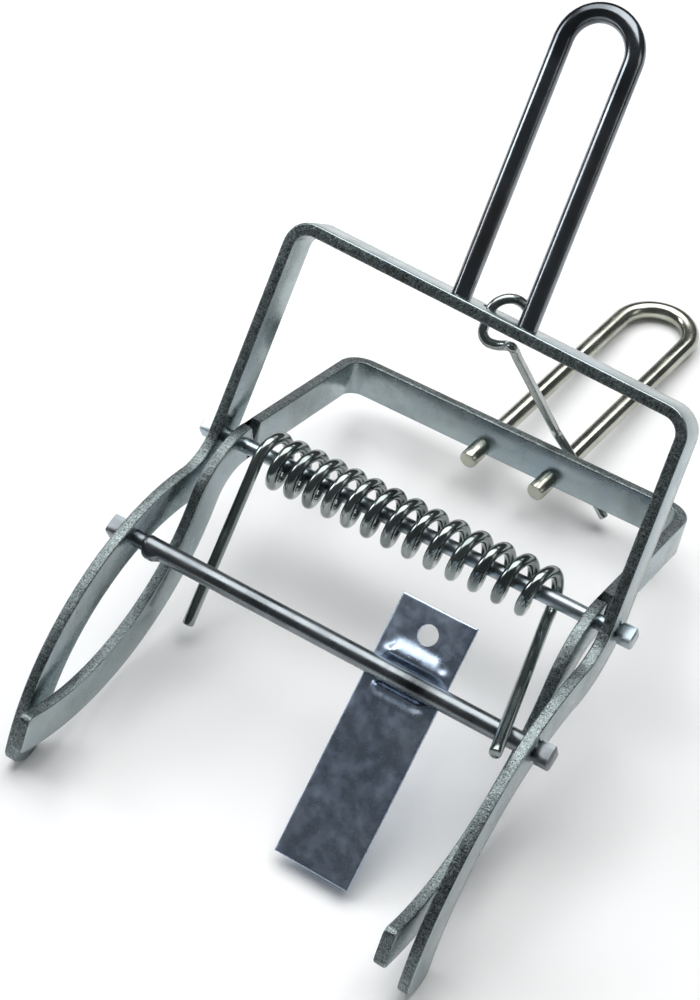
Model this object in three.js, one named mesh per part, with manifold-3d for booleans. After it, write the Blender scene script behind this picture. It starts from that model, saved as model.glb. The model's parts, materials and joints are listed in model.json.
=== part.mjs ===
// A claw trap for tunnels: two bent steel straps that turn on one axle like a clothes peg.
// Squeezing the two wire handles together opens the jaws, and a torsion spring shuts them.
//
// The pieces are drawn standing up: X runs along the axle, -Y is the front, +Z points to the
// handles. "along" is measured up a strap's arm from where the two arms cross, and "ahead" is
// square to the arm, towards the front. The whole trap is then laid down, so that it rests on the
// tips of the front jaws and on the rear handle's end.
import * as THREE from 'three';
import { mergeVertices } from 'three/addons/utils/BufferGeometryUtils.js';
import Module from 'manifold-3d';

const wasm = await Module();
wasm.setup();

// ---- driving dimensions, in millimetres and degrees ----
const STRAP_THICKNESS = 3;
const STRAP_WIDTH = 10;
const ARM_LENGTH = 57.5; // axle to the crossbar's outer face
const ARM_ANGLE = 35.4; // each arm's lean from the trap's middle plane
const ARM_DROP = 1.2; // the two arms' middle lines cross this far below the axle
const CORNER_RADIUS = 7; // outside of the crossbar's bends
const CORNER_STEPS = 6;
const FRONT_HALF_WIDTH = 57;
const FRONT_DRAW_IN = 1.5; // the front arms close in by this much at the crossbar
const FRONT_SKEW = 5.2; // the front crossbar's left end stands this much further up than its right
const REAR_HALF_WIDTH = 51.8;

const BEND_START = 3; // above the crossing, where the arm turns into the jaw
const HIP_RADIUS = 16.5;
const HIP_HEADING = 33.4;
const JAW_RADIUS = 57.8;
const FRONT_TIP = { heading: -50, round: 3.6 };
const REAR_TIP = { heading: -47.6, round: 1.6 };
const TIP_STEPS = 4; // in each rounded corner of a tip
const JAW_REACH = 150; // longer than a jaw, for the blanks that a strap is cut from
const ROD_DISTANCE = 38.4; // along the jaw's middle line, from the crossing

const AXLE_DIAMETER = 4;
const ROD_DIAMETER = 5;
const SHAFT_HALF_LENGTH = 61.3;
const AXLE_SQUARE = 4.6;
const ROD_SQUARE = 5.2;

const HANDLE_WIRE = 5;
const HANDLE_STEPS = 44;
const HANDLE_SIDES = 12;
// side and ahead place a handle on its crossbar, tilt and lean turn it in degrees, and stub is
// how far its ends poke out of the crossbar's inner face.
// length is measured from the crossbar's outer face to the loop's outer edge.
const FRONT_HANDLE = {
  length: 76, halfSpacing: 9.1, side: 0, ahead: 0, tilt: -9.5, lean: -3, stub: 0,
};
const REAR_HANDLE = {
  length: 78, halfSpacing: 10.2, side: 2.6, ahead: -2.7, tilt: 15.5, lean: 5.2, stub: 6.5,
};

const SPRING_WIRE = 3;
const SPRING_COIL_RADIUS = 5.8;
const SPRING_WHOLE_TURNS = 13;
const SPRING_LEFT = -41.5;
const SPRING_RIGHT = 39.5;
const SPRING_STEPS = 190;
const SPRING_SIDES = 6;
const LEFT_LEG_END = { x: -42, ahead: -18, up: -43.2 };
const RIGHT_LEG_END = { x: 52.1, ahead: 20.8, up: -45.4 };
const SPRING_PITCH_GROWTH = 0.12; // the right-hand coils are this share wider apart than the mean

const HOOK_WIRE = 2.5;
const HOOK_HOLE = { x: -2, ahead: -1.9 }; // in the front crossbar
const EYE = { x: 2.3, ahead: -5, radius: 5.4, turn: 39.7 }; // turn: its plane's angle to the axle
const EYE_START = -32; // the wire's end, in degrees round the eye
const EYE_END = 180;
const EYE_STEP = 30;
// The bent part below the front crossbar, as x, along and ahead on the front arm.
const HOOK_HUMP = [
  [-1.7, 53.4, -1.9], [-1.4, 51.4, -2], [0.3, 50, -2], [2.6, 50, -2.5], [5.3, 51, -2], [7.2, 51.3, -0.6],
];
const HOOK_PLAY = 0.5; // between the wire and its hole
const HOOK_STEPS = 70;
const HOOK_SIDES = 8;
const SHANK_SHARES = [0.12, 0.5, 0.9]; // points on the straight part, from the hump to the knee
const HOOK_KNEE = { x: 10, ahead: 7.6 }; // above the rear crossbar
const HOOK_HEEL = { x: 15.3, ahead: 3.1 };
const HOOK_TIP = { x: 28.8, ahead: -9.4 };

const PLATE_WIDTH = 20;
const PLATE_THICKNESS = 1.2;
const PLATE_ABOVE = 18;
const PLATE_BELOW = 49;
const PLATE_SIDE = 21.7;
const PLATE_SWING = -19.5; // from straight down, towards the rear
const PLATE_HOLE = 5.2;
const PLATE_HOLE_ABOVE = 11.5;
const HOLE_SEGMENTS = 10;
const RIDGE_LENGTH = 11;
const RIDGE_HEIGHT = 2.2;
const RIDGE_SLOPE = 4.5;
const RIDGE_TOE = 0.6; // the steep side of a ridge covers this much of the plate

const GAP = 0.3; // between pieces that touch on the real trap
const LIE_ANGLE = 14.25; // lean of the middle plane above the table
const ROUND = 24; // sides of a rod or a hole

const rad = THREE.MathUtils.degToRad;

function zinc(color, roughness) {
  return new THREE.MeshStandardMaterial({ color, roughness, metalness: 1 });
}

// ---- directions on the two straps ----
// side is +1 for the front strap and -1 for the rear one.
const armSin = Math.sin(rad(ARM_ANGLE));
const armCos = Math.cos(rad(ARM_ANGLE));
const armUp = (side) => new THREE.Vector3(0, -side * armSin, armCos);
const armAhead = (side) => new THREE.Vector3(0, -armCos, -side * armSin);

function onArm(side, x, along, ahead) {
  return new THREE.Vector3(x, 0, -ARM_DROP)
    .addScaledVector(armUp(side), along)
    .addScaledVector(armAhead(side), ahead);
}

// ---- solids ----
function toSolid(geometry) {
  const bare = geometry.clone();
  bare.deleteAttribute('normal');
  bare.deleteAttribute('uv');
  const merged = mergeVertices(bare, 1e-4);
  return new wasm.Manifold(new wasm.Mesh({
    numProp: 3,
    vertProperties: new Float32Array(merged.attributes.position.array),
    triVerts: new Uint32Array(merged.index.array),
  }));
}

function toGeometry(solid) {
  const mesh = solid.getMesh();
  const geometry = new THREE.BufferGeometry();
  geometry.setAttribute('position', new THREE.BufferAttribute(mesh.vertProperties, 3));
  geometry.setIndex(new THREE.BufferAttribute(mesh.triVerts, 1));
  geometry.computeVertexNormals();
  return geometry;
}

// A cylinder or square bar from one point to another.
function bar(from, to, radius, sides = ROUND) {
  const geometry = new THREE.CylinderGeometry(radius, radius, from.distanceTo(to), sides);
  const turn = new THREE.Quaternion().setFromUnitVectors(
    new THREE.Vector3(0, 1, 0), to.clone().sub(from).normalize());
  geometry.applyQuaternion(turn);
  geometry.translate(...from.clone().add(to).multiplyScalar(0.5));
  return geometry;
}

// A round wire along a curve, with flat ends.
function wire(curve, diameter, steps, sides) {
  const corners = [];
  for (let i = 0; i < sides; i += 1) {
    const turn = (2 * Math.PI * i) / sides;
    corners.push(new THREE.Vector2(Math.cos(turn), Math.sin(turn)).multiplyScalar(diameter / 2));
  }
  const section = new THREE.Shape(corners);
  return new THREE.ExtrudeGeometry(section, { steps, extrudePath: curve, curveSegments: 1 });
}

// ---- straps ----
// The strap's middle line in the side view as [ahead, up, heading] stations, from above the
// crossbar down to the jaw's tip. A heading is measured from straight down, towards the front.
function jawStations(tipHeading) {
  const stations = [];
  let heading = rad(-ARM_ANGLE);
  let spot = new THREE.Vector2(armSin, armCos);
  const put = () => stations.push([spot.x, spot.y - ARM_DROP, heading]);
  spot.multiplyScalar(ARM_LENGTH + STRAP_WIDTH);
  put();
  spot.setLength(BEND_START);
  put();
  const turnTo = (target, radius, steps) => {
    const step = (target - heading) / steps;
    for (let i = 0; i < steps; i += 1) {
      const chord = 2 * radius * Math.abs(Math.sin(step / 2));
      const way = heading + step / 2;
      spot = new THREE.Vector2(spot.x + chord * Math.sin(way), spot.y - chord * Math.cos(way));
      heading += step;
      put();
    }
  };
  turnTo(rad(HIP_HEADING), HIP_RADIUS, 9);
  turnTo(rad(tipHeading), JAW_RADIUS, 14);
  return stations;
}

// The strap's edge at a station: positive offset is the edge that faces ahead.
const edgePoint = ([ahead, up, heading], offset) =>
  new THREE.Vector2(ahead + offset * Math.cos(heading), up + offset * Math.sin(heading));

// The side view of a strap's arm and jaw, as a closed outline, drawn for the front strap.
function strapOutline({ heading: tipHeading, round }) {
  const stations = jawStations(tipHeading);
  const half = STRAP_WIDTH / 2;
  const tip = stations[stations.length - 1];
  const inward = ([ahead, up, heading], offset, depth) => edgePoint(
    [ahead - depth * Math.sin(heading), up + depth * Math.cos(heading), heading], offset);
  const body = stations.slice(0, -1);
  const end = [];
  for (let i = 0; i <= 2 * TIP_STEPS; i += 1) {
    const sense = i < TIP_STEPS ? 1 : -1;
    const turn = (Math.PI / 2) * (i / TIP_STEPS);
    const offset = sense * (half - round) + round * Math.cos(turn);
    end.push(inward(tip, offset, round * (1 - Math.sin(turn))));
  }
  return new THREE.Shape([
    ...body.map((station) => edgePoint(station, half)), ...end,
    ...body.map((station) => edgePoint(station, -half)).reverse(),
  ]);
}

// Where the trigger rod crosses the front jaw's middle line, as [ahead, up].
function rodSpot() {
  const stations = jawStations(FRONT_TIP.heading).slice(1);
  let left = ROD_DISTANCE + BEND_START;
  for (let i = 1; i < stations.length; i += 1) {
    const from = new THREE.Vector2(stations[i - 1][0], stations[i - 1][1]);
    const to = new THREE.Vector2(stations[i][0], stations[i][1]);
    const length = from.distanceTo(to);
    if (left <= length) return from.lerp(to, left / length);
    left -= length;
  }
  throw new Error('the rod lies past the tip');
}

const rod = rodSpot();
const onRod = (x, ahead = 0, up = 0) => new THREE.Vector3(x, -rod.x - ahead, rod.y + up);

// One corner of a strap's front view, from its foot up and round onto the crossbar.
// way is +1 for the right-hand corner and -1 for the left-hand one.
function corner(way, sideX, topX, topY, radius) {
  const start = way > 0 ? 0 : Math.PI;
  const arc = new THREE.Path().absarc(
    way * (topX - radius), topY - radius, radius, start, Math.PI / 2, way < 0);
  return [
    new THREE.Vector2(way * sideX, -JAW_REACH),
    new THREE.Vector2(way * sideX, 0),
    ...arc.getPoints(CORNER_STEPS),
  ];
}

// The front view of a strap, seen square to its arm: an upside-down U with round corners.
// A skewed one has a longer left arm and a shorter right arm.
function bentOutline(halfWidth, drawIn, skew) {
  const shoulder = halfWidth - drawIn;
  const outer = [halfWidth, shoulder, ARM_LENGTH, CORNER_RADIUS];
  const inner = outer.map((size) => size - STRAP_THICKNESS);
  const points = [
    ...corner(1, ...outer), ...corner(-1, ...outer).reverse(),
    ...corner(-1, ...inner), ...corner(1, ...inner).reverse(),
  ];
  return new THREE.Shape(points.map(({ x, y }) => {
    const rise = -skew * (x / (2 * halfWidth)) * (Math.max(y, 0) / ARM_LENGTH);
    return new THREE.Vector2(x, y + rise);
  }));
}

// An outline drawn out both ways into a slab of this half depth.
function slab(outline, halfDepth) {
  const geometry = new THREE.ExtrudeGeometry(outline, { depth: 2 * halfDepth, bevelEnabled: false });
  geometry.translate(0, 0, -halfDepth);
  return geometry;
}

// A strap is where its bent front view and its side view meet.
function strap(side, halfWidth, drawIn, skew, tip, holes) {
  const across = new THREE.Vector3(1, 0, 0);
  const bent = slab(bentOutline(halfWidth, drawIn, skew), JAW_REACH);
  bent.applyMatrix4(new THREE.Matrix4().makeBasis(across, armUp(side), armAhead(side)));
  bent.translate(0, 0, -ARM_DROP);
  const profile = slab(strapOutline(tip), JAW_REACH);
  profile.applyMatrix4(new THREE.Matrix4().makeBasis(
    new THREE.Vector3(0, -1, 0), new THREE.Vector3(0, 0, 1), across.clone().negate()));
  const frontStrap = toSolid(profile);
  const sideView = side > 0 ? frontStrap : frontStrap.mirror([0, 1, 0]);
  let solid = toSolid(bent).intersect(sideView);
  holes.forEach((hole) => {
    solid = solid.subtract(toSolid(hole));
  });
  return toGeometry(solid);
}

// ---- handles ----
// The handle's own directions, tilted ahead of its arm and leaning sideways.
function handleAxes(side, { tilt, lean }) {
  const across = new THREE.Vector3(1, 0, 0);
  const up = armUp(side).multiplyScalar(Math.cos(rad(tilt)));
  up.addScaledVector(armAhead(side), Math.sin(rad(tilt)));
  const out = up.multiplyScalar(Math.cos(rad(lean))).addScaledVector(across, Math.sin(rad(lean)));
  return { across, out };
}

function handleRoot(side, handle, sign) {
  return onArm(side, handle.side + sign * handle.halfSpacing, ARM_LENGTH, handle.ahead);
}

// The wire's middle line: up one leg, round the loop and down the other leg.
class HandleCurve extends THREE.Curve {
  constructor(side, handle) {
    super();
    Object.assign(this, handleAxes(side, handle));
    this.loop = handle.halfSpacing;
    this.middle = onArm(side, handle.side, ARM_LENGTH, handle.ahead);
    this.inside = STRAP_THICKNESS + handle.stub;
    this.straight = handle.length - HANDLE_WIRE / 2 - this.loop;
  }

  getPoint(t) {
    const leg = this.inside + this.straight;
    const bend = Math.PI * this.loop;
    const run = t * (2 * leg + bend);
    if (run < leg) return this.place(-this.loop, run - this.inside);
    if (run > leg + bend) return this.place(this.loop, this.straight - (run - leg - bend));
    const turn = Math.PI * (1 - (run - leg) / bend);
    return this.place(this.loop * Math.cos(turn), this.straight + this.loop * Math.sin(turn));
  }

  place(x, y) {
    return this.middle.clone().addScaledVector(this.across, x).addScaledVector(this.out, y);
  }
}

const handle = (side, sizes) => wire(
  new HandleCurve(side, sizes), HANDLE_WIRE, HANDLE_STEPS, HANDLE_SIDES);

function handleHoles(side, sizes) {
  const { out } = handleAxes(side, sizes);
  return [-1, 1].map((sign) => {
    const root = handleRoot(side, sizes, sign);
    const from = root.clone().addScaledVector(out, -3 * STRAP_THICKNESS);
    return bar(from, root.clone().addScaledVector(out, STRAP_THICKNESS), HANDLE_WIRE / 2 + GAP);
  });
}

// ---- axle and trigger rod ----
// A round shaft across both straps, its ends pressed square outside them.
function shaft(place, diameter, square) {
  const roundEnd = FRONT_HALF_WIDTH + STRAP_THICKNESS;
  let solid = toSolid(bar(place(-roundEnd), place(roundEnd), diameter / 2));
  [-1, 1].forEach((sign) => {
    const from = place(sign * (FRONT_HALF_WIDTH + GAP));
    const to = place(sign * SHAFT_HALF_LENGTH);
    const block = new THREE.BoxGeometry(from.distanceTo(to), square, square);
    block.translate(...from.clone().add(to).multiplyScalar(0.5));
    solid = solid.add(toSolid(block));
  });
  return toGeometry(solid);
}

const onAxle = (x) => new THREE.Vector3(x, 0, 0);

function shaftHole(place, diameter) {
  const reach = 2 * FRONT_HALF_WIDTH;
  return bar(place(-reach), place(reach), diameter / 2 + GAP);
}

// ---- torsion spring ----
// The turn, in radians from straight ahead, at which a leg to this end leaves the coil.
function tangentTurn({ ahead, up }, sense) {
  const slant = Math.acos(SPRING_COIL_RADIUS / Math.hypot(ahead, up));
  return Math.atan2(up, ahead) + sense * slant;
}

const legEnd = ({ x, ahead, up }) => new THREE.Vector3(x, -ahead, up);

// The left leg comes up to the coil's front side and the right leg leaves its rear side.
class SpringCurve extends THREE.Curve {
  constructor() {
    super();
    this.leftEnd = legEnd(LEFT_LEG_END);
    this.rightEnd = legEnd(RIGHT_LEG_END);
    this.startTurn = tangentTurn(LEFT_LEG_END, 1);
    const endTurn = tangentTurn(RIGHT_LEG_END, -1) + 2 * Math.PI;
    this.sweep = endTurn - this.startTurn + 2 * Math.PI * SPRING_WHOLE_TURNS;
    this.coilLength = this.sweep * SPRING_COIL_RADIUS;
    this.leftLength = this.coil(0).distanceTo(this.leftEnd);
    this.rightLength = this.coil(1).distanceTo(this.rightEnd);
  }

  coil(t) {
    const turn = this.startTurn + this.sweep * t;
    const eased = t - SPRING_PITCH_GROWTH * t * (1 - t);
    return new THREE.Vector3(
      SPRING_LEFT + (SPRING_RIGHT - SPRING_LEFT) * eased,
      -SPRING_COIL_RADIUS * Math.cos(turn),
      SPRING_COIL_RADIUS * Math.sin(turn));
  }

  getPoint(t) {
    const run = t * (this.leftLength + this.coilLength + this.rightLength);
    if (run < this.leftLength) {
      return this.leftEnd.clone().lerp(this.coil(0), run / this.leftLength);
    }
    const past = run - this.leftLength - this.coilLength;
    if (past > 0) return this.coil(1).lerp(this.rightEnd, past / this.rightLength);
    return this.coil((run - this.leftLength) / this.coilLength);
  }
}

// ---- catch hook ----
// A point on the wire's eye, which passes through the front crossbar and round its rear edge.
function onEye(degrees) {
  const middle = onArm(1, EYE.x, ARM_LENGTH - STRAP_THICKNESS / 2, EYE.ahead);
  const across = new THREE.Vector3(Math.cos(rad(EYE.turn)), 0, 0);
  across.addScaledVector(armAhead(1), -Math.sin(rad(EYE.turn)));
  return middle
    .addScaledVector(across, EYE.radius * Math.cos(rad(degrees)))
    .addScaledVector(armUp(1), EYE.radius * Math.sin(rad(degrees)));
}

// The eye, the hump below the front crossbar, the straight shank, and the end that lies on the
// rear crossbar's outer face.
function hookCurve() {
  const points = [];
  for (let turn = EYE_START; turn <= EYE_END; turn += EYE_STEP) points.push(onEye(turn));
  HOOK_HUMP.forEach(([x, along, ahead]) => points.push(onArm(1, x, along, ahead)));
  const shankTop = points[points.length - 1];
  const resting = ARM_LENGTH + HOOK_WIRE / 2 + GAP;
  const knee = onArm(-1, HOOK_KNEE.x, resting, HOOK_KNEE.ahead);
  SHANK_SHARES.forEach((share) => points.push(shankTop.clone().lerp(knee, share)));
  points.push(knee, onArm(-1, HOOK_HEEL.x, resting + GAP, HOOK_HEEL.ahead));
  points.push(onArm(-1, HOOK_TIP.x, resting, HOOK_TIP.ahead));
  return new THREE.CatmullRomCurve3(points, false, 'centripetal');
}

// ---- trigger plate ----
// Drawn flat with its length along Y, then hung on the rod by a shallow pressed seat.
function triggerPlate() {
  const half = PLATE_WIDTH / 2;
  const outline = new THREE.Shape([
    new THREE.Vector2(-half, -PLATE_BELOW), new THREE.Vector2(half, -PLATE_BELOW),
    new THREE.Vector2(half, PLATE_ABOVE), new THREE.Vector2(-half, PLATE_ABOVE),
  ]);
  const hole = new THREE.Path().absarc(0, PLATE_HOLE_ABOVE, PLATE_HOLE / 2, 0, 2 * Math.PI);
  outline.holes.push(hole);
  const sheet = new THREE.ExtrudeGeometry(
    outline, { depth: PLATE_THICKNESS, bevelEnabled: false, curveSegments: HOLE_SEGMENTS });
  let solid = toSolid(sheet);
  const seat = ROD_DIAMETER / 2 + GAP;
  [-1, 1].forEach((sign) => {
    const ridge = new THREE.Shape([
      new THREE.Vector2(sign * seat, PLATE_THICKNESS / 2),
      new THREE.Vector2(sign * (seat + RIDGE_TOE), PLATE_THICKNESS + RIDGE_HEIGHT),
      new THREE.Vector2(sign * (seat + RIDGE_SLOPE), PLATE_THICKNESS / 2),
    ]);
    const lump = new THREE.ExtrudeGeometry(ridge, { depth: RIDGE_LENGTH, bevelEnabled: false });
    lump.translate(0, 0, -RIDGE_LENGTH / 2);
    lump.applyMatrix4(new THREE.Matrix4().makeBasis(
      new THREE.Vector3(0, 1, 0), new THREE.Vector3(0, 0, 1), new THREE.Vector3(1, 0, 0)));
    solid = solid.add(toSolid(lump));
  });
  const geometry = toGeometry(solid);
  geometry.translate(0, 0, -(seat + PLATE_THICKNESS));
  geometry.rotateX(rad(90 - PLATE_SWING));
  geometry.translate(...onRod(PLATE_SIDE));
  return geometry;
}

// ---- assembly ----
function named(name, geometry, material) {
  const mesh = new THREE.Mesh(geometry, material);
  mesh.name = name;
  return mesh;
}

const strapZinc = zinc(0xb9c2c6, 0.32);
const darkZinc = zinc(0x7f8486, 0.28);
const paleZinc = zinc(0xc0c2b8, 0.25);
const blueZinc = zinc(0x8f9db4, 0.3);

const axleHole = shaftHole(onAxle, AXLE_DIAMETER);
const rodHole = shaftHole(onRod, ROD_DIAMETER);
const hookHole = bar(
  onArm(1, HOOK_HOLE.x, ARM_LENGTH + STRAP_THICKNESS, HOOK_HOLE.ahead),
  onArm(1, HOOK_HOLE.x, ARM_LENGTH - 2 * STRAP_THICKNESS, HOOK_HOLE.ahead),
  HOOK_WIRE / 2 + HOOK_PLAY);
const frontHoles = [axleHole, rodHole, hookHole, ...handleHoles(1, FRONT_HANDLE)];
const rearHoles = [axleHole, ...handleHoles(-1, REAR_HANDLE)];
const springWire = wire(new SpringCurve(), SPRING_WIRE, SPRING_STEPS, SPRING_SIDES);

const trap = new THREE.Group();
trap.add(
  named('front_frame', strap(
    1, FRONT_HALF_WIDTH, FRONT_DRAW_IN, FRONT_SKEW, FRONT_TIP, frontHoles), strapZinc),
  named('rear_frame', strap(-1, REAR_HALF_WIDTH, 0, 0, REAR_TIP, rearHoles), strapZinc),
  named('front_handle', handle(1, FRONT_HANDLE), darkZinc),
  named('rear_handle', handle(-1, REAR_HANDLE), paleZinc),
  named('pivot_axle', shaft(onAxle, AXLE_DIAMETER, AXLE_SQUARE), darkZinc),
  named('trigger_rod', shaft(onRod, ROD_DIAMETER, ROD_SQUARE), darkZinc),
  named('torsion_spring', springWire, strapZinc),
  named('catch_hook', wire(hookCurve(), HOOK_WIRE, HOOK_STEPS, HOOK_SIDES), darkZinc),
  named('trigger_plate', triggerPlate(), blueZinc),
);
trap.rotation.x = rad(LIE_ANGLE - 90);

// The trap lies on the plane Z = 0 with its box centred on the origin.
const box = new THREE.Box3().setFromObject(trap, true);
const centre = box.getCenter(new THREE.Vector3());
trap.position.set(-centre.x, -centre.y, -box.min.z);

const model = new THREE.Group();
model.add(trap);
export default model;
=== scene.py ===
# The looks of a claw trap for tunnels: two bent steel straps on one axle, wire handles, a torsion
# spring, a trigger plate on a rod, and a wire catch. Every piece is zinc-plated steel.
#
# Shapes are drawn in the trap's own directions, as in the CAD part: X runs along the axle, "ahead"
# is towards the trap's front and "up" towards its handles. spot() lays them down on the table.
import json
import math

import bmesh
import bpy
from mathutils import Matrix, Vector, noise


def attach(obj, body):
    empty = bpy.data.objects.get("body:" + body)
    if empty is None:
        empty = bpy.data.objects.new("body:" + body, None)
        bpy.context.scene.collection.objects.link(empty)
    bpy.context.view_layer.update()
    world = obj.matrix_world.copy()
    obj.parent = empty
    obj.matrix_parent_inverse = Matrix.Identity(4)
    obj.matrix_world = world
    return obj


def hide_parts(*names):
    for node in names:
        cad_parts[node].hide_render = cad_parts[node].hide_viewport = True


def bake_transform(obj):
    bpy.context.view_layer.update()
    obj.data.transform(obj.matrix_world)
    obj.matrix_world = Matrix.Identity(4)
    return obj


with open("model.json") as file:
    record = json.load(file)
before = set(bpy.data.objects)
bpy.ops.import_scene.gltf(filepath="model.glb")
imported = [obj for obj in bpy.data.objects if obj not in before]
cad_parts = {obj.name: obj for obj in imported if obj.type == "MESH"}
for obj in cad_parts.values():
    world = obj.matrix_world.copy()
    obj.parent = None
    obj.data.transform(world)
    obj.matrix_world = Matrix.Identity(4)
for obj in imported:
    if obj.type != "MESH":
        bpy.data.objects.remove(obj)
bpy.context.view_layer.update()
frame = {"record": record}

MM = 0.001
SHARP_ANGLE = math.radians(38)
AXLE = Vector(frame["record"]["behaviour"]["joints"][0]["pos_m"])
LIE_ANGLE = math.radians(14.25)  # lean of the trap's middle plane above the table

# ---- sizes, in millimetres and radians; the handles' tilt and lean are in degrees ----
STRAP_THICKNESS = 3
STRAP_WIDTH = 10
STRAP_EDGE = 0.45  # rounding of the strip's long edges
EDGE_STEPS = 3  # in each rounded edge
ARM_LENGTH = 57.5  # axle to the crossbar's outer face
ARM_ANGLE = math.radians(35.4)  # each arm's lean from the trap's middle plane
ARM_DROP = 1.2  # the two arms' middle lines cross this far below the axle
CORNER_RADIUS = 7
BEND_START = 3  # above the crossing, where the arm turns into the jaw
HIP_RADIUS = 16.5
HIP_HEADING = math.radians(33.4)
JAW_RADIUS = 57.8
FRONT_TIP = {"heading": math.radians(-50), "round": 3.6}
REAR_TIP = {"heading": math.radians(-47.6), "round": 1.6}
TIP_STEPS = 8
COARSE_BENDS = (9, 14)  # steps in a jaw's two bends, as in the CAD part, for placing the rod
FINE_BENDS = (18, 44)
ARM_STEPS = 12
CORNER_STEPS = 10
CROSSBAR_STEPS = 10
ROD_DISTANCE = 38.4  # along the jaw's middle line, from the crossing
FRONT_STRAP = {"side": 1, "half": 57, "draw_in": 1.5, "skew": 5.2, "tip": FRONT_TIP}
REAR_STRAP = {"side": -1, "half": 51.8, "draw_in": 0, "skew": 0, "tip": REAR_TIP}

AXLE_RADIUS = 2
ROD_RADIUS = 2.5
SHAFT_END = 61.3
SHAFT_SIDES = 32
SHAFT_BODY = 54  # half of the plain round stretch
SHAFT_BODY_STEPS = 180
AXLE_SQUARE = 2.3
ROD_SQUARE = 2.6
EAR_SPOT = -48.5  # a pressed ear on the rod, inside the left front jaw
EAR_HALF_LENGTH = 2
EAR_DROP = 1
NECK_SHARE = 0.84

HANDLE_RADIUS = 2.5
HANDLE_LEG_STEPS = 30
HANDLE_LOOP_STEPS = 40
FRONT_HANDLE = {
    "length": 76, "half": 9.1, "side": 0, "ahead": 0, "tilt": -9.5, "lean": -3, "stub": 0}
REAR_HANDLE = {
    "length": 78, "half": 10.2, "side": 2.6, "ahead": -2.7, "tilt": 15.5, "lean": 5.2, "stub": 6.5}

SPRING_RADIUS = 1.5
COIL_RADIUS = 5.8
WHOLE_TURNS = 13
SPRING_LEFT = -41.5
SPRING_RIGHT = 39.5
LEFT_LEG_END = (-42, -18, -43.2)
RIGHT_LEG_END = (52.1, 20.8, -45.4)
PITCH_GROWTH = 0.12  # the right-hand coils are this share wider apart than the mean
COIL_STEPS = 560
SPRING_LEG_STEPS = 20

WIRE_SIDES = 24
WORN_SHARE = 0.28  # how far a wire's cut end is worn round, as a share of its radius

HOOK_RADIUS = 1.25
HOOK_HOLE = (-2, -1.9)
HOOK_HOLE_RADIUS = 1.75
EYE_SIDE = 2.3
EYE_AHEAD = -5
EYE_RADIUS = 5.4
EYE_TURN = math.radians(39.7)
EYE_TURNS = range(-32, 181, 30)  # degrees round the eye
HOOK_HUMP = [
    (-1.7, 53.4, -1.9), (-1.4, 51.4, -2), (0.3, 50, -2), (2.6, 50, -2.5), (5.3, 51, -2),
    (7.2, 51.3, -0.6)]
SHANK_SHARES = (0.12, 0.5, 0.9)  # points on the straight part, from the hump to the knee
HOOK_KNEE = (10, 7.6)
HOOK_HEEL = (15.3, 3.1)
HOOK_TIP = (28.8, -9.4)

PLATE_WIDTH = 20
PLATE_THICKNESS = 1.2
PLATE_ABOVE = 18
PLATE_BELOW = 49
PLATE_SIDE = 21.7
PLATE_SWING = math.radians(-19.5)
PLATE_HOLE = 2.6
PLATE_HOLE_ABOVE = 11.5
PLATE_STEP = 0.4
PLATE_WORN = 0.25  # rounding of the plate's rim
RIDGE_HALF_LENGTH = 7.4
RIDGE_END = 2.4
# A ridge's distance from the rod's middle, its steep side, its slope and its height.
UPPER_RIDGE = (4.6, 2.2, 4.6, 0.9)
LOWER_RIDGE = (3.9, 1.1, 3.4, 1.1)
PLATE_DIMPLES = [(-6.6, 4.4, 0.7), (7.2, 4.4, 0.7), (6.8, -3.9, 0.8)]  # across, up, height
GAP = 0.3

# ---- camera ----
AZIMUTH = math.radians(33.72)
ELEVATION = math.radians(51.2)
ROLL = math.radians(-0.88)
DISTANCE = 0.49
AIM = AXLE + Vector((-0.015, -0.0037, 0.0045))
LENS = 104.1
FLOOR_HALF_SIZE = 0.75


# ---- places ----
def spot(x, ahead, up):
    """A point of the trap, in metres, from millimetres along the trap's own directions."""
    y = up * math.cos(LIE_ANGLE) - ahead * math.sin(LIE_ANGLE)
    z = ahead * math.cos(LIE_ANGLE) + up * math.sin(LIE_ANGLE)
    return AXLE + Vector((x, y, z)) * MM


def on_arm(side, x, along, ahead):
    """A point on the front (side 1) or rear (side -1) arm, as (x, ahead, up)."""
    reach = side * along * math.sin(ARM_ANGLE) + ahead * math.cos(ARM_ANGLE)
    rise = along * math.cos(ARM_ANGLE) - side * ahead * math.sin(ARM_ANGLE) - ARM_DROP
    return Vector((x, reach, rise))


def arm_way(side, along, ahead):
    """A direction on an arm, as (x, ahead, up)."""
    return (on_arm(side, 0, along, ahead) - on_arm(side, 0, 0, 0)).normalized()


def rod_centre():
    """Where the trigger rod crosses the front jaw, as (ahead, up)."""
    left = ROD_DISTANCE + BEND_START
    stations = jaw_line(COARSE_BENDS, FRONT_TIP["heading"])
    for before, after in zip(stations, stations[1:]):
        length = math.hypot(after[0] - before[0], after[1] - before[1])
        if left <= length:
            share = left / length
            return tuple(a + (b - a) * share for a, b in zip(before[:2], after[:2]))
        left -= length
    raise ValueError("the rod lies past the tip")


# ---- meshes ----
def new_piece(name, mesh_data, materials, body):
    """Makes an object from a bmesh, shades it and lets it ride on a body."""
    bmesh.ops.recalc_face_normals(mesh_data, faces=mesh_data.faces)
    mesh = bpy.data.meshes.new(name)
    mesh_data.to_mesh(mesh)
    mesh_data.free()
    mesh.shade_smooth()
    mesh.set_sharp_from_angle(angle=SHARP_ANGLE)
    piece = bpy.data.objects.new(name, mesh)
    bpy.context.scene.collection.objects.link(piece)
    for material in materials:
        mesh.materials.append(material)
    if body:
        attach(piece, body)
    return piece


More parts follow.
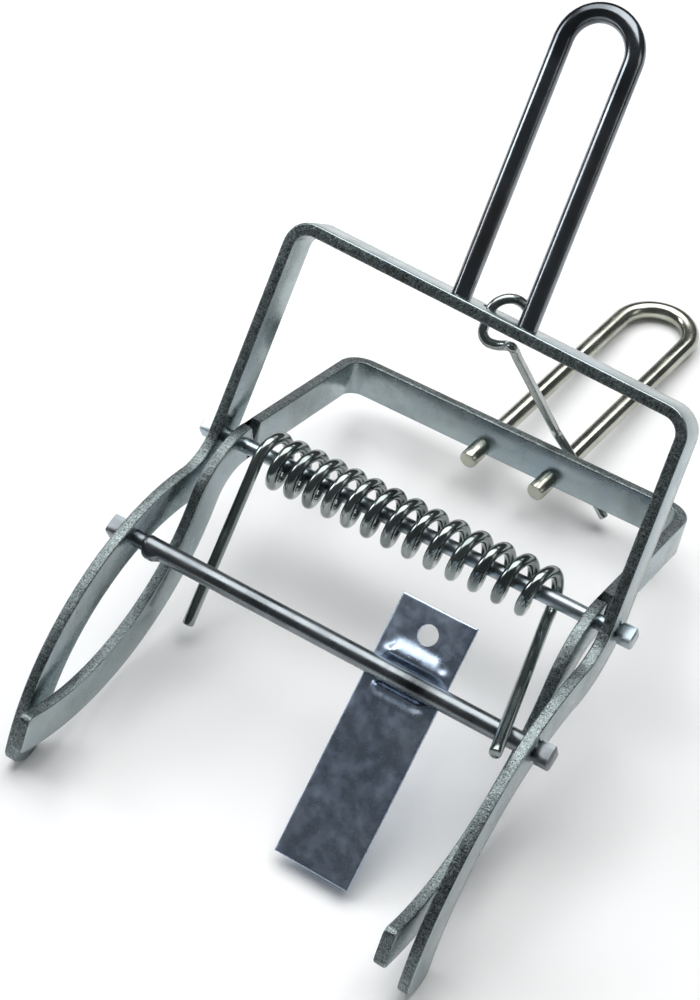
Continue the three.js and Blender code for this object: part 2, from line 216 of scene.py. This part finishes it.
def skin(mesh_data, rings):
    """Joins rings of points with quads and closes both ends. Returns the quads."""
    loops = [[mesh_data.verts.new(point) for point in ring] for ring in rings]
    count = len(loops[0])
    faces = []
    for before, after in zip(loops, loops[1:]):
        for i in range(count):
            j = (i + 1) % count
            faces.append(mesh_data.faces.new((before[i], before[j], after[j], after[i])))
    mesh_data.faces.new(loops[0])
    mesh_data.faces.new(loops[-1])
    return faces


def tube_rings(points, radius):
    """Rings of a round wire along points, its two ends cut flat with a slightly worn edge."""
    tangents = []
    for i, point in enumerate(points):
        before = points[max(i - 1, 0)]
        after = points[min(i + 1, len(points) - 1)]
        tangents.append((after - before).normalized())
    normal = tangents[0].orthogonal().normalized()
    rings = []
    last = len(points) - 1
    for i, (point, tangent) in enumerate(zip(points, tangents)):
        if i:
            normal = tangents[i - 1].rotation_difference(tangent) @ normal
        other = tangent.cross(normal)

        def ring(size, shift):
            centre = point + tangent * shift
            turns = [2 * math.pi * k / WIRE_SIDES for k in range(WIRE_SIDES)]
            return [centre + (normal * math.cos(a) + other * math.sin(a)) * size for a in turns]

        worn = radius * WORN_SHARE
        if i == 0:
            rings.append(ring(radius - worn, 0))
            rings.append(ring(radius - worn * 0.3, worn * 0.3))
            rings.append(ring(radius, worn))
        elif i == last:
            rings.append(ring(radius, -worn))
            rings.append(ring(radius - worn * 0.3, -worn * 0.3))
            rings.append(ring(radius - worn, 0))
        else:
            rings.append(ring(radius, 0))
    return rings


def wire(name, points, radius, materials, body):
    mesh_data = bmesh.new()
    skin(mesh_data, tube_rings(points, radius * MM))
    return new_piece(name, mesh_data, materials, body)


def smooth_path(corners, per_span=10):
    """Points on a centripetal Catmull-Rom curve through these corners."""
    points = [corners[0] * 2 - corners[1], *corners, corners[-1] * 2 - corners[-2]]
    path = []
    for a, b, c, d in zip(points, points[1:], points[2:], points[3:]):
        times = [0]
        for start, end in ((a, b), (b, c), (c, d)):
            times.append(times[-1] + math.sqrt((end - start).length))
        for step in range(per_span):
            t = times[1] + (times[2] - times[1]) * step / per_span
            first = a.lerp(b, t / times[1])
            second = b.lerp(c, (t - times[1]) / (times[2] - times[1]))
            third = c.lerp(d, (t - times[2]) / (times[3] - times[2]))
            left = first.lerp(second, t / times[2])
            right = second.lerp(third, (t - times[1]) / (times[3] - times[1]))
            path.append(left.lerp(right, (t - times[1]) / (times[2] - times[1])))
    path.append(corners[-1])
    return path


def drill(piece, start, end, radius):
    """Cuts a round hole through a piece, from one point to another."""
    cutter_data = bmesh.new()
    axis = end - start
    turn = Vector((0, 0, 1)).rotation_difference(axis).to_matrix().to_4x4()
    bmesh.ops.create_cone(
        cutter_data, cap_ends=True, segments=48, radius1=radius, radius2=radius,
        depth=axis.length, matrix=Matrix.Translation((start + end) / 2) @ turn)
    cutter_mesh = bpy.data.meshes.new("cutter")
    cutter_data.to_mesh(cutter_mesh)
    cutter_data.free()
    cutter = bpy.data.objects.new("cutter", cutter_mesh)
    bpy.context.scene.collection.objects.link(cutter)
    cut = piece.modifiers.new("hole", "BOOLEAN")
    cut.operation = "DIFFERENCE"
    cut.solver = "EXACT"
    cut.object = cutter
    depsgraph = bpy.context.evaluated_depsgraph_get()
    mesh = bpy.data.meshes.new_from_object(piece.evaluated_get(depsgraph))
    piece.modifiers.clear()
    piece.data = mesh
    bpy.data.objects.remove(cutter)
    mesh.shade_smooth()
    mesh.set_sharp_from_angle(angle=SHARP_ANGLE)


# ---- materials ----
class Nodes:
    """A short way to write a node tree."""

    def __init__(self, name):
        self.material = bpy.data.materials.new(name)
        self.material.use_nodes = True
        self.tree = self.material.node_tree
        self.shader = self.tree.nodes["Principled BSDF"]
        self.shader.inputs["Metallic"].default_value = 1.0
        self.place = self.tree.nodes.new("ShaderNodeTexCoord").outputs["Object"]

    def link(self, source, target):
        self.tree.links.new(source, target)

    def stretched(self, scale, turn=(0, 0, 0)):
        mapping = self.tree.nodes.new("ShaderNodeMapping")
        mapping.inputs["Scale"].default_value = scale
        mapping.inputs["Rotation"].default_value = turn
        self.link(self.place, mapping.inputs["Vector"])
        return mapping.outputs["Vector"]

    def along_strip(self, scale):
        """Places along a strip's path and round its section."""
        mapping = self.tree.nodes.new("ShaderNodeMapping")
        mapping.inputs["Scale"].default_value = scale
        path = self.tree.nodes.new("ShaderNodeUVMap")
        path.uv_map = "path"
        self.link(path.outputs["UV"], mapping.inputs["Vector"])
        return mapping.outputs["Vector"]

    def noise(self, scale, detail, vector=None):
        node = self.tree.nodes.new("ShaderNodeTexNoise")
        node.inputs["Scale"].default_value = scale
        node.inputs["Detail"].default_value = detail
        node.inputs["Roughness"].default_value = 0.55
        self.link(vector or self.place, node.inputs["Vector"])
        return node.outputs["Fac"]

    def cells(self, scale, output="Color"):
        node = self.tree.nodes.new("ShaderNodeTexVoronoi")
        node.inputs["Scale"].default_value = scale
        self.link(self.place, node.inputs["Vector"])
        return node.outputs[output]

    def ramp(self, value, stops):
        node = self.tree.nodes.new("ShaderNodeValToRGB")
        elements = node.color_ramp.elements
        while len(elements) < len(stops):
            elements.new(0.5)
        for element, (position, color) in zip(elements, stops):
            element.position = position
            element.color = (*color, 1)
        self.link(value, node.inputs["Fac"])
        return node.outputs["Color"]

    def span(self, value, low, high, from_low=0.3, from_high=0.7):
        node = self.tree.nodes.new("ShaderNodeMapRange")
        node.inputs["From Min"].default_value = from_low
        node.inputs["From Max"].default_value = from_high
        node.inputs["To Min"].default_value = low
        node.inputs["To Max"].default_value = high
        self.link(value, node.inputs["Value"])
        return node.outputs["Result"]

    def blend(self, share, first, second, mode="MIX"):
        node = self.tree.nodes.new("ShaderNodeMix")
        node.data_type = "RGBA"
        node.blend_type = mode
        if isinstance(share, float):
            node.inputs["Factor"].default_value = share
        else:
            self.link(share, node.inputs["Factor"])
        self.link(first, node.inputs["A"])
        self.link(second, node.inputs["B"])
        return node.outputs["Result"]

    def math(self, operation, first, second):
        node = self.tree.nodes.new("ShaderNodeMath")
        node.operation = operation
        for socket, value in zip(node.inputs, (first, second)):
            if isinstance(value, float):
                socket.default_value = value
            else:
                self.link(value, socket)
        return node.outputs["Value"]

    def bump(self, height, strength, distance, base=None):
        node = self.tree.nodes.new("ShaderNodeBump")
        node.inputs["Strength"].default_value = strength
        node.inputs["Distance"].default_value = distance
        self.link(height, node.inputs["Height"])
        if base:
            self.link(base, node.inputs["Normal"])
        return node.outputs["Normal"]

    def finish(self, color, roughness, normal):
        self.link(color, self.shader.inputs["Base Color"])
        self.link(roughness, self.shader.inputs["Roughness"])
        self.link(normal, self.shader.inputs["Normal"])
        return self.material


def rolled_zinc(name, dark, light, tint, smooth, rough, stretch=(1, 1, 1)):
    """Bright zinc plate on a smooth rolled or drawn surface: cloudy colour, faint lines, pits."""
    nodes = Nodes(name)
    clouds = nodes.noise(38, 5)
    color = nodes.ramp(clouds, [(0.32, dark), (0.5, light), (0.7, tint)])
    lines = nodes.noise(300, 5, nodes.stretched(stretch))
    color = nodes.blend(0.22, color, nodes.ramp(lines, [(0.35, dark), (0.62, light)]), "MULTIPLY")
    specks = nodes.cells(900, "Distance")
    dots = nodes.span(specks, 0.0, 1.0, 0.02, 0.12)
    spotted = nodes.blend(dots, nodes.ramp(clouds, [(0.0, dark), (1.0, dark)]), color)
    gloss = nodes.span(nodes.noise(120, 6), smooth, rough, 0.35, 0.7)
    coarse = nodes.bump(nodes.noise(190, 5), 0.1, 0.0004)
    fine = nodes.bump(lines, 0.12, 0.00012, coarse)
    return nodes.finish(spotted, gloss, fine)


def sheared_zinc(name, dark, light):
    """The strip's cut edge: fine zinc crystals over lines left by the shear, across the edge."""
    nodes = Nodes(name)
    middle = tuple((a + b) / 2 for a, b in zip(dark, light))
    crystals = nodes.cells(4200)
    color = nodes.ramp(crystals, [(0.1, dark), (0.55, middle), (0.95, light)])
    tears = nodes.noise(1.0, 5, nodes.along_strip((1900, 0.35, 1)))
    streaks = nodes.ramp(tears, [(0.38, dark), (0.62, light)])
    color = nodes.blend(0.6, color, streaks, "SOFT_LIGHT")
    bands = nodes.ramp(nodes.noise(60, 4), [(0.35, dark), (0.65, light)])
    color = nodes.blend(0.45, color, bands, "SOFT_LIGHT")
    gloss = nodes.span(crystals, 0.24, 0.5, 0.0, 1.0)
    torn = nodes.bump(tears, 0.4, 0.0003)
    coarse = nodes.bump(nodes.noise(1500, 4), 0.35, 0.0003, torn)
    fine = nodes.bump(nodes.cells(3200, "Distance"), 0.3, 0.0002, coarse)
    return nodes.finish(color, gloss, fine)


def scratched_zinc(name, dark, light, tint):
    """Sheet zinc with a bluish sheen and fine scratches in two directions."""
    nodes = Nodes(name)
    clouds = nodes.noise(60, 6)
    color = nodes.ramp(clouds, [(0.2, dark), (0.5, light), (0.8, tint)])
    along = nodes.noise(1.0, 6, nodes.stretched((2600, 90, 260), (0.25, 0.0, 0.5)))
    across = nodes.noise(1.0, 6, nodes.stretched((120, 2600, 2600), (0.0, 0.0, 0.2)))
    marks = nodes.math(
        "MAXIMUM", nodes.span(along, 0.0, 0.6, 0.58, 0.74),
        nodes.span(across, 0.0, 0.6, 0.62, 0.76))
    bright = nodes.ramp(clouds, [(0.0, (0.6, 0.65, 0.72)), (1.0, (0.72, 0.76, 0.8))])
    color = nodes.blend(marks, color, bright)
    gloss = nodes.span(nodes.noise(260, 6), 0.22, 0.4, 0.35, 0.7)
    fine = nodes.bump(marks, 0.2, 0.00008, nodes.bump(nodes.noise(400, 6), 0.12, 0.0003))
    return nodes.finish(color, gloss, fine)


STRAP_FACE = rolled_zinc(
    "strap_face_zinc", (0.27, 0.315, 0.32), (0.4, 0.46, 0.465), (0.35, 0.43, 0.48), 0.2, 0.34)
STRAP_EDGE_FACE = sheared_zinc("strap_edge_zinc", (0.1, 0.112, 0.115), (0.44, 0.48, 0.48))
# Painted shade: the front handle's colours are kept dark to stand for the dark room that its
# mirror-like zinc reflects. Its wire is the same zinc-plated steel as the rest.
FRONT_HANDLE_PAINTED_DARK = rolled_zinc(
    "front_handle_zinc", (0.11, 0.12, 0.13), (0.24, 0.26, 0.28), (0.18, 0.185, 0.19), 0.14, 0.26)
REAR_WIRE = rolled_zinc(
    "rear_handle_zinc", (0.3, 0.3, 0.25), (0.52, 0.53, 0.47), (0.42, 0.43, 0.36), 0.14, 0.28)
AXLE_STEEL = rolled_zinc(
    "axle_zinc", (0.24, 0.28, 0.3), (0.46, 0.52, 0.55), (0.38, 0.44, 0.48), 0.22, 0.4)
ROD_STEEL = rolled_zinc(
    "rod_zinc", (0.05, 0.055, 0.06), (0.26, 0.285, 0.3), (0.18, 0.2, 0.215), 0.2, 0.4, (0.2, 3, 3))
SPRING_WIRE = rolled_zinc(
    "spring_zinc", (0.16, 0.185, 0.18), (0.38, 0.42, 0.41), (0.29, 0.32, 0.31), 0.12, 0.24)
HOOK_WIRE = rolled_zinc(
    "hook_zinc", (0.22, 0.24, 0.24), (0.46, 0.49, 0.48), (0.36, 0.38, 0.36), 0.14, 0.28)
PLATE_FACE = scratched_zinc("plate_zinc", (0.34, 0.42, 0.55), (0.44, 0.53, 0.67), (0.54, 0.62, 0.73))


# ---- straps ----
def jaw_line(steps, tip_heading):
    """Stations (ahead, up, heading) down a front jaw's middle line, from where the arm ends."""
    heading = -ARM_ANGLE
    ahead = math.sin(ARM_ANGLE) * BEND_START
    up = math.cos(ARM_ANGLE) * BEND_START
    stations = [(ahead, up - ARM_DROP, heading)]
    bends = ((HIP_HEADING, HIP_RADIUS), (tip_heading, JAW_RADIUS))
    for (target, radius), count in zip(bends, steps):
        step = (target - heading) / count
        chord = 2 * radius * abs(math.sin(step / 2))
        for _ in range(count):
            middle = heading + step / 2
            ahead += chord * math.sin(middle)
            up -= chord * math.cos(middle)
            heading += step
            stations.append((ahead, up - ARM_DROP, heading))
    return stations


def strip_section():
    """The strip's rounded section as (out, ahead, on the cut edge), out from its inner face."""
    half = STRAP_WIDTH / 2
    corners = [(STRAP_THICKNESS, half), (0, half), (0, -half), (STRAP_THICKNESS, -half)]
    section = []
    for i, (out, ahead) in enumerate(corners):
        centre_out = abs(out - STRAP_EDGE)
        centre_ahead = math.copysign(half - STRAP_EDGE, ahead)
        for k in range(EDGE_STEPS + 1):
            turn = math.pi / 2 * (i + k / EDGE_STEPS)
            at_out = centre_out + STRAP_EDGE * math.cos(turn)
            section.append((at_out, centre_ahead + STRAP_EDGE * math.sin(turn)))
    return section


def strap_stations(side, half, draw_in, tip):
    """Half of a strap's path, from the tip to the crossbar's middle.

    Each station is (inner face's middle, out direction, ahead direction, width share), drawn for
    the right-hand side.
    """
    across = Vector((1, 0, 0))
    stations = []
    for ahead, up, heading in reversed(jaw_line(FINE_BENDS, tip["heading"])):
        edge = Vector((0, side * math.cos(heading), math.sin(heading)))
        stations.append((Vector((half - STRAP_THICKNESS, side * ahead, up)), across, edge, 1))
    end, out, edge, _ = stations[0]
    inward = (stations[1][0] - end).normalized()
    rounded = []
    for k in range(TIP_STEPS):
        turn = math.pi / 2 * k / TIP_STEPS
        reach = tip["round"] * (1 - math.cos(turn))
        share = 1 - (1 - math.sin(turn)) * tip["round"] / (STRAP_WIDTH / 2)
        rounded.append((end + inward * reach, out, edge, share))
    past_tip = [s for s in stations if (s[0] - end).length > tip["round"]]
    stations = [*rounded, *past_tip]

    arm_ahead = arm_way(side, 0, 1)
    arm_up = arm_way(side, 1, 0)
    straight = ARM_LENGTH - CORNER_RADIUS
    for k in range(1, ARM_STEPS + 1):
        along = BEND_START + (straight - BEND_START) * k / ARM_STEPS
        inset = draw_in * along / straight + STRAP_THICKNESS
        stations.append((on_arm(side, half - inset, along, 0), across, arm_ahead, 1))
    inner = CORNER_RADIUS - STRAP_THICKNESS
    centre = on_arm(side, half - draw_in - CORNER_RADIUS, straight, 0)
    for k in range(1, CORNER_STEPS + 1):
        turn = math.pi / 2 * k / CORNER_STEPS
        out = across * math.cos(turn) + arm_up * math.sin(turn)
        stations.append((centre + out * inner, out, arm_ahead, 1))
    width = half - draw_in - CORNER_RADIUS
    for k in range(1, CROSSBAR_STEPS + 1):
        x = width * (1 - k / CROSSBAR_STEPS)
        middle = on_arm(side, x, ARM_LENGTH - STRAP_THICKNESS, 0)
        stations.append((middle, arm_up, arm_ahead, 1))
    return stations


def strap(name, body, side, half, draw_in, skew, tip):
    """A bent strap, drawn tip to tip. A skewed one has a longer left arm and a shorter right arm."""
    right = strap_stations(side, half, draw_in, tip)
    arm_up = arm_way(side, 1, 0)
    flip = Matrix.Diagonal((-1, 1, 1))
    left = [(flip @ middle, flip @ out, edge, share) for middle, out, edge, share in right[:-1]]
    section = strip_section()
    rings = []
    for middle, out, edge, share in [*right, *reversed(left)]:
        ring = []
        for depth, ahead in section:
            point = middle + out * depth + edge * (ahead * share)
            along = max((point - on_arm(side, point.x, 0, 0)).dot(arm_up), 0)
            rise = -skew * (point.x / (2 * half)) * (along / ARM_LENGTH)
            ring.append(spot(*(point + arm_up * rise)))
        rings.append(ring)
    mesh_data = bmesh.new()
    faces = skin(mesh_data, rings)
    count = len(section)
    path = mesh_data.loops.layers.uv.new("path")
    run = [0]
    for before, after in zip(rings, rings[1:]):
        run.append(run[-1] + (after[0] - before[0]).length)
    for index, face in enumerate(faces):
        place, turn = divmod(index, count)
        face.material_index = 1 if edge_face(section, turn) else 0
        corners = ((place, turn), (place, turn + 1), (place + 1, turn + 1), (place + 1, turn))
        for loop, (at, around) in zip(face.loops, corners):
            loop[path].uv = (run[at], around)
    mesh_data.faces.ensure_lookup_table()
    for face in mesh_data.faces[-2:]:
        face.material_index = 1
    piece = new_piece(name + "_strip", mesh_data, [STRAP_FACE, STRAP_EDGE_FACE], body)
    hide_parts(name)
    return piece


def edge_face(section, index):
    """True where the section's side from this point to the next lies on the cut edge."""
    first = section[index]
    second = section[(index + 1) % len(section)]
    return abs(second[0] - first[0]) > abs(second[1] - first[1])


# ---- shafts ----
def shaft(name, centre, radius, square, material, necked=False):
    """A round rod along X, its ends pressed square.

    A necked one is thinner just inside the left jaw, with a small ear pressed out below it.
    """
    ahead0, up0 = centre
    start = FRONT_STRAP["half"] + GAP
    square_end = [(SHAFT_END, 0.8, 9), (SHAFT_END - 0.4, 1, 9), (start + 0.4, 1, 9)]
    square_end += [(start, 0.93, 4), (start - 0.3, 1, 2)]
    places = [(-x, size, power) for x, size, power in square_end]
    for k in range(SHAFT_BODY_STEPS + 1):
        places.append((SHAFT_BODY * (2 * k / SHAFT_BODY_STEPS - 1), 1, 2))
    places += reversed(square_end)
    rings = []
    for x, size, power in places:
        reach = (square if power > 3 else radius) * size
        pressed = math.exp(-((x - EAR_SPOT) / EAR_HALF_LENGTH) ** 4) if necked else 0
        if necked and -start < x < EAR_SPOT - EAR_HALF_LENGTH:
            reach *= NECK_SHARE
        ring = []
        for k in range(SHAFT_SIDES):
            turn = 2 * math.pi * k / SHAFT_SIDES
            cos, sin = math.cos(turn), math.sin(turn)
            length = reach / (abs(cos) ** power + abs(sin) ** power) ** (1 / power)
            drop = EAR_DROP * pressed * max(-sin, 0) ** 3
            ring.append(spot(x, ahead0 + length * cos, up0 + length * sin - drop))
        rings.append(ring)
    mesh_data = bmesh.new()
    skin(mesh_data, rings)
    piece = new_piece(name + "_bar", mesh_data, [material], "front_jaw")
    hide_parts(name)


# ---- handles ----
def handle_out(side, sizes):
    tilt = math.radians(sizes["tilt"])
    lean = math.radians(sizes["lean"])
    up = arm_way(side, 1, 0) * math.cos(tilt) + arm_way(side, 0, 1) * math.sin(tilt)
    return up * math.cos(lean) + Vector((1, 0, 0)) * math.sin(lean)


def handle(name, body, side, sizes, materials):
    out = handle_out(side, sizes)
    middle = on_arm(side, sizes["side"], ARM_LENGTH, sizes["ahead"])
    half = sizes["half"]
    inside = STRAP_THICKNESS + sizes["stub"]
    straight = sizes["length"] - HANDLE_RADIUS - half
    leg = [(straight + inside) * k / HANDLE_LEG_STEPS for k in range(HANDLE_LEG_STEPS + 1)]
    flat = [(-half, run - inside) for run in leg]
    turns = [math.pi * (1 - k / HANDLE_LOOP_STEPS) for k in range(1, HANDLE_LOOP_STEPS)]
    flat += [(half * math.cos(a), straight + half * math.sin(a)) for a in turns]
    flat += [(half, straight - run) for run in leg]
    points = [spot(*(middle + Vector((x, 0, 0)) + out * y)) for x, y in flat]
    piece = wire(name + "_wire", points, HANDLE_RADIUS, materials, body)
    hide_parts(name)


# ---- spring ----
def tangent_turn(ahead, up, sense):
    return math.atan2(up, ahead) + sense * math.acos(COIL_RADIUS / math.hypot(ahead, up))


def spring():
    start = tangent_turn(*LEFT_LEG_END[1:], 1)
    end = tangent_turn(*RIGHT_LEG_END[1:], -1)
    sweep = end + 2 * math.pi - start + 2 * math.pi * WHOLE_TURNS
    coil = []
    for k in range(COIL_STEPS + 1):
        t = k / COIL_STEPS
        turn = start + sweep * t
        eased = t - PITCH_GROWTH * t * (1 - t)
        x = SPRING_LEFT + (SPRING_RIGHT - SPRING_LEFT) * eased
        coil.append(Vector((x, COIL_RADIUS * math.cos(turn), COIL_RADIUS * math.sin(turn))))
    shares = [k / SPRING_LEG_STEPS for k in range(SPRING_LEG_STEPS)]
    left = [Vector(LEFT_LEG_END).lerp(coil[0], share) for share in shares]
    right = [Vector(RIGHT_LEG_END).lerp(coil[-1], share) for share in reversed(shares)]
    points = [spot(*point) for point in [*left, *coil, *right]]
    piece = wire("torsion_spring_wire", points, SPRING_RADIUS, [SPRING_WIRE], None)
    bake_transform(piece)
    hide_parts("torsion_spring")


# ---- catch ----
def catch():
    middle = on_arm(1, EYE_SIDE, ARM_LENGTH - STRAP_THICKNESS / 2, EYE_AHEAD)
    across = Vector((1, 0, 0)) * math.cos(EYE_TURN) - arm_way(1, 0, 1) * math.sin(EYE_TURN)
    corners = []
    for degrees in EYE_TURNS:
        turn = math.radians(degrees)
        way = across * math.cos(turn) + arm_way(1, 1, 0) * math.sin(turn)
        corners.append(middle + way * EYE_RADIUS)
    corners += [on_arm(1, *point) for point in HOOK_HUMP]
    resting = ARM_LENGTH + HOOK_RADIUS + GAP

    def on_rear_crossbar(place, height):
        x, ahead = place
        return on_arm(-1, x, height, ahead)

    top = corners[-1]
    knee = on_rear_crossbar(HOOK_KNEE, resting)
    corners += [top.lerp(knee, share) for share in SHANK_SHARES]
    corners += [
        knee, on_rear_crossbar(HOOK_HEEL, resting + GAP), on_rear_crossbar(HOOK_TIP, resting)]
    points = [spot(*point) for point in smooth_path(corners)]
    piece = wire("catch_hook_wire", points, HOOK_RADIUS, [HOOK_WIRE], "catch")
    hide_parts("catch_hook")


# ---- trigger plate ----
def plate_height(u, v):
    """How far the sheet stands proud towards the rod, in millimetres, u across and v up it."""
    def hump(from_rod, ridge, steep, slope, peak):
        distance = from_rod - ridge
        rise = 1 + distance / steep if distance < 0 else 1 - distance / slope
        rise = min(max(rise, 0), 1)
        return peak * rise * rise * (3 - 2 * rise)

    side = min(max((RIDGE_HALF_LENGTH - abs(u)) / RIDGE_END, 0), 1)
    side = side * side * (3 - 2 * side)
    above = hump(v, *UPPER_RIDGE) * side
    below = hump(-v, *LOWER_RIDGE) * side
    dimples = 0
    for centre_u, centre_v, height in PLATE_DIMPLES:
        dimples += height * math.exp(-((u - centre_u) ** 2 + (v - centre_v) ** 2) / 1.9)
    wave = 0.12 * noise.noise(Vector((u * 0.12, v * 0.12, 3)))
    return above + below + dimples + wave


def trigger_plate():
    half = PLATE_WIDTH / 2
    seat = ROD_RADIUS + GAP
    ahead0, up0 = rod_centre()
    across = Vector((1, 0, 0))
    down = Vector((0, math.sin(PLATE_SWING), -math.cos(PLATE_SWING)))
    front = Vector((0, math.cos(PLATE_SWING), math.sin(PLATE_SWING)))
    centre = Vector((PLATE_SIDE, ahead0, up0)) - front * seat

    def place(u, v, depth):
        return spot(*(centre + across * u - down * v + front * depth))

    worn = PLATE_WORN
    columns = [-half, -half + worn * 0.3, -half + worn]
    inner = int((PLATE_WIDTH - 2 * worn) / PLATE_STEP)
    columns += [-half + worn + (PLATE_WIDTH - 2 * worn) * k / inner for k in range(1, inner)]
    columns += [half - worn, half - worn * 0.3, half]
    length = PLATE_ABOVE + PLATE_BELOW
    rows = [-PLATE_BELOW, -PLATE_BELOW + worn * 0.3, -PLATE_BELOW + worn]
    inner = int((length - 2 * worn) / PLATE_STEP)
    rows += [-PLATE_BELOW + worn + (length - 2 * worn) * k / inner for k in range(1, inner)]
    rows += [PLATE_ABOVE - worn, PLATE_ABOVE - worn * 0.3, PLATE_ABOVE]

    mesh_data = bmesh.new()
    sheets = []
    for sign in (0, -1):
        grid = []
        for v in rows:
            line = []
            for u in columns:
                rim = min(half - abs(u), v + PLATE_BELOW, PLATE_ABOVE - v)
                fall = max(worn - rim, 0) ** 2 / worn * 0.8
                depth = plate_height(u, v) + sign * PLATE_THICKNESS + (fall if sign else -fall)
                line.append(mesh_data.verts.new(place(u, v, depth)))
            grid.append(line)
        for lower, upper in zip(grid, grid[1:]):
            for i in range(len(columns) - 1):
                mesh_data.faces.new((lower[i], lower[i + 1], upper[i + 1], upper[i]))
        rim_loop = [*grid[0], *[line[-1] for line in grid[1:]]]
        rim_loop += [*reversed(grid[-1][:-1]), *[line[0] for line in reversed(grid[1:-1])]]
        sheets.append(rim_loop)
    for i, first in enumerate(sheets[0]):
        j = (i + 1) % len(sheets[0])
        mesh_data.faces.new((first, sheets[0][j], sheets[1][j], sheets[1][i]))
    piece = new_piece("trigger_plate_sheet", mesh_data, [PLATE_FACE], "trigger")
    drill(piece, place(0, PLATE_HOLE_ABOVE, -6), place(0, PLATE_HOLE_ABOVE, 6), PLATE_HOLE * MM)
    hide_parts("trigger_plate")


# ---- floor, light and camera ----
def studio():
    floor_data = bmesh.new()
    bmesh.ops.create_grid(floor_data, x_segments=40, y_segments=40, size=FLOOR_HALF_SIZE)
    mesh = bpy.data.meshes.new("floor")
    floor_data.to_mesh(mesh)
    floor_data.free()
    floor = bpy.data.objects.new("floor", mesh)
    bpy.context.scene.collection.objects.link(floor)
    paint = bpy.data.materials.new("floor_paint")
    paint.use_nodes = True
    shader = paint.node_tree.nodes["Principled BSDF"]
    shader.inputs["Base Color"].default_value = (0.94, 0.94, 0.94, 1)
    shader.inputs["Roughness"].default_value = 0.9
    mesh.materials.append(paint)

    world = bpy.data.worlds.new("studio")
    world.use_nodes = True
    world.node_tree.nodes["Background"].inputs["Color"].default_value = (0.9, 0.95, 1.0, 1)
    world.node_tree.nodes["Background"].inputs["Strength"].default_value = 0.1
    bpy.context.scene.world = world
    bpy.context.scene.view_settings.view_transform = "Standard"

    def softbox(name, place, size, power, color):
        light = bpy.data.lights.new(name, "AREA")
        light.shape = "RECTANGLE"
        light.size = size[0]
        light.size_y = size[1]
        light.energy = power
        light.color = color
        lamp = bpy.data.objects.new(name, light)
        bpy.context.scene.collection.objects.link(lamp)
        lamp.location = AIM + Vector(place)
        lamp.rotation_euler = (AIM - lamp.location).to_track_quat("-Z", "Y").to_euler()

    softbox("overhead_light", (-0.2, 0.5, 1.2), (1.8, 1.3), 27, (1, 1, 1))
    softbox("left_light", (-1.2, -0.2, 0.7), (0.4, 0.6), 5, (0.94, 0.97, 1))
    softbox("right_light", (1.3, 0.3, 0.6), (0.4, 0.7), 1, (1, 0.98, 0.94))


def camera():
    toward = Vector((
        -math.sin(AZIMUTH) * math.cos(ELEVATION),
        math.cos(AZIMUTH) * math.cos(ELEVATION),
        -math.sin(ELEVATION)))
    lens = bpy.data.cameras.new("camera")
    lens.sensor_fit = "HORIZONTAL"
    lens.sensor_width = 36
    lens.lens = LENS
    lens.clip_start = 0.01
    view = bpy.data.objects.new("camera", lens)
    bpy.context.scene.collection.objects.link(view)
    turn = toward.to_track_quat("-Z", "Y").to_matrix() @ Matrix.Rotation(ROLL, 3, "Z")
    view.matrix_world = Matrix.Translation(AIM - toward * DISTANCE) @ turn.to_4x4()
    bpy.context.scene.camera = view


# ---- assembly ----
front_frame = strap("front_frame", "front_jaw", **FRONT_STRAP)
strap("rear_frame", "rear_jaw", **REAR_STRAP)
shaft("pivot_axle", (0, 0), AXLE_RADIUS, AXLE_SQUARE, AXLE_STEEL)
shaft("trigger_rod", rod_centre(), ROD_RADIUS, ROD_SQUARE, ROD_STEEL, necked=True)
handle("front_handle", "front_jaw", 1, FRONT_HANDLE, [FRONT_HANDLE_PAINTED_DARK])
handle("rear_handle", "rear_jaw", -1, REAR_HANDLE, [REAR_WIRE])
spring()
catch()
trigger_plate()
hole_x, hole_ahead = HOOK_HOLE
drill(
    front_frame,
    spot(*on_arm(1, hole_x, ARM_LENGTH + STRAP_THICKNESS, hole_ahead)),
    spot(*on_arm(1, hole_x, ARM_LENGTH - 2 * STRAP_THICKNESS, hole_ahead)),
    HOOK_HOLE_RADIUS * MM)
studio()
camera()
